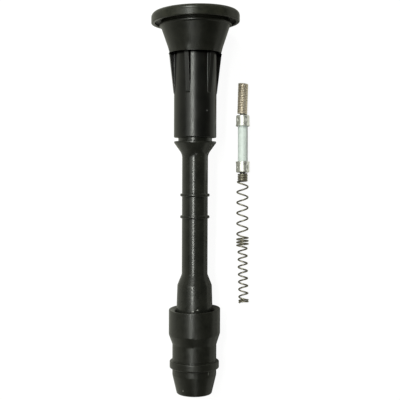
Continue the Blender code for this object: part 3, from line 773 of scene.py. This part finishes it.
class Paint:
    """A Principled material under construction, on coordinates in the row frame."""

    def __init__(self, name, metallic=0.0):
        self.material = bpy.data.materials.new(name)
        self.material.use_nodes = True
        self.tree = self.material.node_tree
        self.shader = self.tree.nodes["Principled BSDF"]
        self.shader.inputs["Metallic"].default_value = metallic
        self.place = self.tree.nodes.new("ShaderNodeTexCoord").outputs["Object"]

    def link(self, source, name):
        self.tree.links.new(source, self.shader.inputs[name])

    def span(self, value, low, high, start=0.3, end=0.7):
        return add_span(self.tree, value, low, high, start, end)

    def stretched(self, x, y, z):
        """The place, with its scale changed along each axis."""
        node = self.tree.nodes.new("ShaderNodeMapping")
        node.inputs["Scale"].default_value = (x, y, z)
        self.tree.links.new(self.place, node.inputs["Vector"])
        return node.outputs["Vector"]

    def noise(self, scale, detail=3.0, roughness=0.5, place=None):
        node = self.tree.nodes.new("ShaderNodeTexNoise")
        node.inputs["Scale"].default_value = scale
        node.inputs["Detail"].default_value = detail
        node.inputs["Roughness"].default_value = roughness
        self.tree.links.new(place or self.place, node.inputs["Vector"])
        return node.outputs["Fac"]

    def tones(self, value, colours, start=0.3, end=0.7):
        """Passes from the first colour to the second between two values."""
        node = self.tree.nodes.new("ShaderNodeValToRGB")
        for element, position, colour in zip(node.color_ramp.elements, (start, end), colours):
            element.position = position
            element.color = (*colour, 1.0)
        self.tree.links.new(value, node.inputs["Fac"])
        return node.outputs["Color"]

    def mix(self, share, first, second):
        """Passes from the first colour to the second as share rises. Each is a colour or a socket."""
        node = self.tree.nodes.new("ShaderNodeMix")
        node.data_type = "RGBA"
        self.tree.links.new(share, node.inputs["Factor"])
        for name, colour in (("A", first), ("B", second)):
            socket = next(s for s in node.inputs if s.name == name and s.type == "RGBA")
            if isinstance(colour, tuple):
                socket.default_value = (*colour, 1.0)
            else:
                self.tree.links.new(colour, socket)
        return next(s for s in node.outputs if s.type == "RGBA")

    def along(self, start, near, far):
        """Rises from 0 to 1 between two distances from a place on Y, towards -Y."""
        return self.span(coordinate(self.tree, "Object", "Y"), 1.0, 0.0, start - far, start - near)

    def marks(self, *marks):
        """1 in small oval marks, each with its place and half sizes, and 0 elsewhere, with soft rims."""
        total = None
        for place, size in marks:
            node = self.tree.nodes.new("ShaderNodeMapping")
            node.vector_type = "TEXTURE"
            node.inputs["Location"].default_value = place
            node.inputs["Scale"].default_value = size
            self.tree.links.new(self.place, node.inputs["Vector"])
            far = self.tree.nodes.new("ShaderNodeVectorMath")
            far.operation = "LENGTH"
            self.tree.links.new(node.outputs["Vector"], far.inputs[0])
            mark = self.span(far.outputs["Value"], 1.0, 0.0, 0.5, 1.0)
            total = add_math(self.tree, "MAXIMUM", total, mark) if total else mark
        return total

    def openness(self, reach):
        """How open the surface lies: 1 in the open, less in a groove or under an edge."""
        node = self.tree.nodes.new("ShaderNodeAmbientOcclusion")
        node.inputs["Distance"].default_value = reach
        node.samples = OPENNESS_SAMPLES
        return node.outputs["AO"]

    def bump(self, height, strength, distance, below=None):
        """A normal for the surface. Below is another bump's normal that it adds to."""
        node = self.tree.nodes.new("ShaderNodeBump")
        node.inputs["Strength"].default_value = strength
        node.inputs["Distance"].default_value = distance
        self.tree.links.new(height, node.inputs["Height"])
        if below:
            self.tree.links.new(below, node.inputs["Normal"])
        return node.outputs["Normal"]


def rubber_material(flange_end):
    """Moulded rubber, blotched on the flange, duller on the cone below it, with painted shade in its
    crevices.
    """
    paint = Paint("moulded_rubber")
    below_flange = paint.along(flange_end, *FLANGE_FADE)
    below_cone = paint.along(flange_end, *CONE_FADE)
    cloud = paint.noise(260.0, detail=4.0, roughness=0.6)
    speck = paint.noise(1500.0, detail=2.0, roughness=0.6)
    dusty = paint.mix(paint.span(speck, 0.0, 0.5, 0.58, 0.80), paint.tones(cloud, RUBBER), RUBBER_DUST)
    blotch = paint.tones(paint.noise(420.0, detail=4.0, roughness=0.65), FLANGE_RUBBER, 0.32, 0.68)
    colour = paint.mix(below_flange, blotch, dusty)
    colour = paint.mix(paint.marks(*BOOT_NICKS), colour, RUBBER_NICK)
    # Painted shade: colour and gloss fall off where the surface lies enclosed, in crevices and under edges
    unshaded_share = paint.openness(RUBBER_SHADE_REACH)
    colour = paint.mix(paint.span(unshaded_share, 0.0, 1.0, *RUBBER_SHADE_OPENNESS), RUBBER_PAINTED_SHADE, colour)
    paint.link(colour, "Base Color")
    gloss = paint.span(below_cone, 0.34, 0.5, 0.0, 1.0)
    paint.link(paint.span(unshaded_share, 0.02, gloss, *RUBBER_SHADE_OPENNESS), "Specular IOR Level")
    paint.link(paint.span(cloud, 0.29, 0.37), "Roughness")
    grain = paint.bump(paint.noise(5200.0, detail=2.0), 0.25, 0.00002)
    paint.link(paint.bump(paint.noise(420.0, detail=2.0), 0.20, 0.00008, grain), "Normal")
    return paint.material


def sleeve_material(lip_place):
    """Glossy hard plastic, with a painted shadow right under the seal's lip."""
    paint = Paint("glossy_sleeve_plastic")
    # Painted shadow: darker and less glossy within a little of the seal's lip
    lip_shadow = paint.along(lip_place, *LIP_SHADOW_FADE)
    cloud = paint.noise(180.0, roughness=0.55, place=paint.stretched(1.0, 1.0, 0.35))
    colour = paint.tones(cloud, SLEEVE_PLASTIC, end=0.72)
    colour = paint.mix(paint.marks(*SLEEVE_NICKS), colour, SLEEVE_NICK)
    paint.link(paint.mix(lip_shadow, SLEEVE_PAINTED_SHADOW, colour), "Base Color")
    paint.link(paint.span(lip_shadow, 0.02, 0.5, 0.0, 1.0), "Specular IOR Level")
    paint.link(paint.span(cloud, 0.28, 0.34), "Roughness")
    waves = paint.noise(300.0, detail=2.0, place=paint.stretched(1.0, 0.3, 1.0))
    paint.link(paint.bump(waves, 0.10, 0.00004), "Normal")
    return paint.material


def tube_material(cup_top):
    """Moulded plastic, a little duller on the wide lower end, with two painted highlights on small burrs at
    the boot's mouth.
    """
    paint = Paint("moulded_tube_plastic")
    colour = paint.tones(paint.noise(220.0, detail=4.0, roughness=0.6), TUBE_PLASTIC)
    # Painted highlights: two pale specks where small burrs at the boot's mouth glint
    paint.link(paint.mix(paint.marks(*TUBE_PAINTED_GLINTS), colour, TUBE_GLINT_COLOUR), "Base Color")
    dullest = paint.span(paint.along(cup_top, *CUP_FADE), 0.28, 0.38, 0.0, 1.0)
    paint.link(paint.span(paint.noise(700.0), 0.22, dullest), "Roughness")
    paint.link(paint.bump(paint.noise(900.0, roughness=0.6), 0.12, 0.00003), "Normal")
    return paint.material


def wire_material(terminal_end):
    """Drawn steel wire: bright on the terminal coil, duller on the spring."""
    paint = Paint("drawn_spring_steel", metallic=1.0)
    cloud = paint.noise(900.0, roughness=0.6)
    below_terminal = paint.along(terminal_end, *TERMINAL_FADE)
    bright = paint.tones(cloud, TERMINAL_STEEL)
    dull = paint.tones(cloud, SPRING_STEEL)
    paint.link(paint.mix(below_terminal, bright, dull), "Base Color")
    paint.link(paint.span(paint.noise(1800.0, detail=2.0), 0.50, 0.60), "Roughness")
    paint.link(paint.bump(paint.noise(2600.0, detail=2.0), 0.10, 0.00001), "Normal")
    return paint.material


def plated_material():
    """Plated sheet steel, with painted shade in its crimps and corners."""
    paint = Paint("plated_cap_steel", metallic=1.0)
    plating = paint.tones(paint.noise(900.0, roughness=0.6), CAP_PLATING)
    # Painted shade: the plating darkens where the surface lies enclosed, in the crimps and corners; clean
    # means unshaded here
    clean = paint.span(paint.openness(CAP_SHADE_REACH), 0.0, 1.0, *CAP_SHADE_OPENNESS)
    paint.link(paint.mix(clean, CAP_PAINTED_SHADE, plating), "Base Color")
    paint.link(paint.span(paint.noise(1800.0, detail=2.0), 0.40, 0.52), "Roughness")
    paint.link(paint.bump(paint.noise(2600.0, detail=2.0), 0.25, 0.00003), "Normal")
    return paint.material


def ceramic_material():
    """Pale fired ceramic."""
    paint = Paint("fired_ceramic")
    cloud = paint.noise(500.0, detail=4.0, roughness=0.6)
    paint.link(paint.tones(cloud, CERAMIC), "Base Color")
    paint.link(paint.span(cloud, 0.38, 0.50), "Roughness")
    paint.link(paint.bump(paint.noise(3000.0, detail=2.0), 0.25, 0.00003), "Normal")
    return paint.material


def add_boot(nodes):
    """Seal, sleeve, tube and plug boot, from the coil end down."""
    place = boot_matrix(nodes)
    rubber = rubber_material(depth_on_y(place, SHOULDER_END - SHOULDER_HEIGHT))
    vertices, faces = lathe(seal_corners(), shape=skirt_shape)
    vertices = flexed(vertices, SHOULDER_END, CONE_END, FLANGE_PITCH, FLANGE_ROLL)
    mesh_object("turned_seal", vertices, faces, place, rubber, "rubber", "flange_seal")

    plastic = sleeve_material(depth_on_y(place, CONE_END))
    mesh_object("moulded_sleeve", *sleeve_mesh(), place, plastic, "sleeve_plastic", "finned_sleeve")

    plastic = tube_material(depth_on_y(place, CUP_TOP))
    mesh_object("moulded_tube", *lathe(tube_corners()), place, plastic, "tube_plastic", "extension_tube")

    vertices, faces = lathe(plug_boot_corners())
    vertices = flexed(vertices, BOOT_TAPER, BOOT_WAIST, BOOT_PITCH, BOOT_ROLL)
    mesh_object("moulded_plug_boot", vertices, faces, place, rubber, "rubber", "plug_boot")


def add_contact(nodes):
    """Terminal coil, two caps, resistor and spring, from the coil end down."""
    place = contact_matrix(nodes)
    steel = wire_material(depth_on_y(place, TERMINAL_LENGTH))
    plated = plated_material()

    pitch = 2 * WIRE_RADIUS + TURN_GAP
    turns = (TERMINAL_LENGTH - 2 * WIRE_RADIUS) / pitch
    vertices, faces = wound_wire(((turns, pitch, COIL_MEAN_RADIUS),), TERMINAL_START)
    raised = [vertex + Vector((0.0, 0.0, TERMINAL_LENGTH)) for vertex in vertices]
    foot = place @ Matrix.Translation((-TERMINAL_SHIFT, 0.0, -TERMINAL_LENGTH))
    leaning = foot @ Matrix.Rotation(math.radians(TERMINAL_LEAN), 4, "Y")
    mesh_object("terminal_wire", raised, faces, leaning, steel, "spring_steel", "terminal_coil")

    cap = lathe(cap_corners(), False, CAP_TURN_STEPS, cap_shape(270, 1, UPPER_DIMPLES))
    upper = place @ Matrix.Translation((0.0, 0.0, -UPPER_CAP_TOP))
    mesh_object("pressed_upper_cap", *cap, upper, plated, "plated_steel", "upper_end_cap")

    cap = lathe(cap_corners(), False, CAP_TURN_STEPS, cap_shape(90, -1, LOWER_DIMPLES))
    lower = place @ Matrix.Translation((0.0, 0.0, -LOWER_CAP_END)) @ Matrix.Rotation(math.pi, 4, "X")
    mesh_object("pressed_lower_cap", *cap, lower, plated, "plated_steel", "lower_end_cap")

    rod = lathe(resistor_corners(), False, ROD_TURN_STEPS)
    mesh_object("fired_resistor_rod", *rod, place, ceramic_material(), "ceramic", "resistor_rod")

    spring = wound_wire(SPRING_SECTIONS, SPRING_START, SPRING_LEAN, SPRING_BOW)
    under_cap = place @ Matrix.Translation((0.0, 0.0, -LOWER_CAP_END - SEAT_GAP))
    mesh_object("spring_wire", *spring, under_cap, steel, "spring_steel", "contact_spring")


def floor_shade(tree):
    """How bright the floor is in the part's reflections, from a curve over its width."""
    curve = tree.nodes.new("ShaderNodeFloatCurve")
    points = curve.mapping.curves[0].points
    points[0].location = (0.0, FLOOR_FAR_SHADE)
    points[1].location = (1.0, FLOOR_FAR_SHADE)
    for place, level in FLOOR_SHADE:
        points.new(0.5 + place / FLOOR_SPAN, level)
    for point in points:
        point.handle_type = "VECTOR"
    curve.mapping.update()
    across = add_span(tree, coordinate(tree, "Object", "X"), 0.0, 1.0, -FLOOR_SPAN / 2, FLOOR_SPAN / 2)
    tree.links.new(across, curve.inputs["Value"])
    return curve.outputs["Value"]


def floor_material():
    """White to the camera but for the part's shadow, and shaded across in the part's reflections."""
    material = bpy.data.materials.new("white_floor")
    material.use_nodes = True
    tree = material.node_tree
    shader = tree.nodes["Principled BSDF"]
    shader.inputs["Base Color"].default_value = (*FLOOR_COLOUR, 1.0)
    shader.inputs["Roughness"].default_value = FLOOR_ROUGHNESS
    shader.inputs["Specular IOR Level"].default_value = 0.0
    glow = tree.nodes.new("ShaderNodeEmission")
    tint_reflections(tree, glow.inputs["Color"])
    path = tree.nodes.new("ShaderNodeLightPath")
    mirrored = add_math(tree, "MULTIPLY", path.outputs["Is Glossy Ray"], floor_shade(tree))
    seen = add_math(tree, "MULTIPLY_ADD", path.outputs["Is Camera Ray"], FLOOR_GLOW, mirrored)
    tree.links.new(seen, glow.inputs["Strength"])
    both = tree.nodes.new("ShaderNodeAddShader")
    tree.links.new(shader.outputs[0], both.inputs[0])
    tree.links.new(glow.outputs[0], both.inputs[1])
    tree.links.new(both.outputs[0], tree.nodes["Material Output"].inputs["Surface"])
    return material


def add_floor():
    mesh = bpy.data.meshes.new("studio_floor")
    corners = [(-1, -1), (1, -1), (1, 1), (-1, 1)]
    mesh.from_pydata([(x * FLOOR_HALF, y * FLOOR_HALF, 0.0) for x, y in corners], [], [(0, 1, 2, 3)])
    mesh.materials.append(floor_material())
    floor = bpy.data.objects.new("studio_floor", mesh)
    bpy.context.scene.collection.objects.link(floor)


def add_softbox(name, place, width, height, power, aim=LAMP_AIM):
    """Adds an area lamp whose height runs along the boot as far as its aim allows."""
    light = bpy.data.lights.new(name, "AREA")
    light.shape = "RECTANGLE"
    light.size = width
    light.size_y = height
    light.energy = power
    light.color = LAMP_TINT
    lamp = bpy.data.objects.new(name, light)
    bpy.context.scene.collection.objects.link(lamp)
    back = (Vector(place) - Vector(aim)).normalized()
    along = (Vector((0.0, 1.0, 0.0)) - back * back.y).normalized()
    matrix = Matrix((along.cross(back), along, back)).transposed().to_4x4()
    matrix.translation = place
    lamp.matrix_world = matrix
    return lamp


def tint_reflections(tree, colour_input):
    """White where the camera looks straight at it, and a little warmer in what the part reflects."""
    tint = tree.nodes.new("ShaderNodeValToRGB")
    tint.color_ramp.elements[0].color = (*REFLECTED_TINT, 1.0)
    tint.color_ramp.elements[1].color = (1.0, 1.0, 1.0, 1.0)
    path = tree.nodes.new("ShaderNodeLightPath")
    tree.links.new(path.outputs["Is Camera Ray"], tint.inputs["Fac"])
    tree.links.new(tint.outputs["Color"], colour_input)


def add_world():
    """A dim room, a little lighter low down and most so at the left. The camera sees it white."""
    world = bpy.data.worlds.new("studio")
    world.use_nodes = True
    tree = world.node_tree
    background = tree.nodes["Background"]
    tint_reflections(tree, background.inputs["Color"])
    sides = add_span(tree, coordinate(tree, "Generated", "X"), *ROOM_SIDES, *ROOM_SIDES_FADE)
    low = add_span(tree, coordinate(tree, "Generated", "Z"), 0.0, 1.0, *ROOM_LOW_FADE)
    room = add_math(tree, "MULTIPLY_ADD", sides, low, ROOM_LIGHT)
    path = tree.nodes.new("ShaderNodeLightPath")
    seen = add_math(tree, "ADD", room, path.outputs["Is Camera Ray"])
    tree.links.new(seen, background.inputs["Strength"])
    bpy.context.scene.world = world


def add_studio():
    """The room, the lamps, and a small card that only the contact reflects."""
    add_world()
    for softbox in SOFTBOXES:
        add_softbox(*softbox)
    card = add_softbox(*CONTACT_CARD, aim=CONTACT_CARD_AIM)
    card.visible_camera = False
    card.visible_diffuse = False


def add_camera():
    """The photograph's view, nearly straight down."""
    camera = bpy.data.cameras.new("photo_camera")
    camera.sensor_width = SENSOR
    camera.lens = FOCAL_PIXELS * SENSOR / IMAGE_SIZE
    camera.clip_start = CAMERA_CLIP_START
    obj = bpy.data.objects.new("photo_camera", camera)
    bpy.context.scene.collection.objects.link(obj)
    pitch = math.radians(CAMERA_PITCH)
    back = Vector((0.0, -math.sin(pitch), math.cos(pitch)))
    up = Vector((0.0, math.cos(pitch), math.sin(pitch)))
    matrix = Matrix((Vector((1.0, 0.0, 0.0)), up, back)).transposed().to_4x4()
    matrix = matrix @ Matrix.Rotation(math.radians(CAMERA_ROLL), 4, "Z")
    matrix.translation = CAMERA_TARGET + back * CAMERA_DISTANCE
    obj.matrix_world = matrix
    bpy.context.scene.camera = obj


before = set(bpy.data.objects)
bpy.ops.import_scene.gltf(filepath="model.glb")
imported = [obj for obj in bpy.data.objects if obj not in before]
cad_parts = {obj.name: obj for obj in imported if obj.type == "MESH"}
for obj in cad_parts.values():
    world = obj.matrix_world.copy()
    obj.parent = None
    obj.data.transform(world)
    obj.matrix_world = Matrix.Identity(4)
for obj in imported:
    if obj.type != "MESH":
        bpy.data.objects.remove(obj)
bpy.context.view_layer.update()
add_boot(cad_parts)
add_contact(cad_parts)
add_floor()
add_studio()
add_camera()
bpy.context.scene.view_settings.view_transform = "Standard"
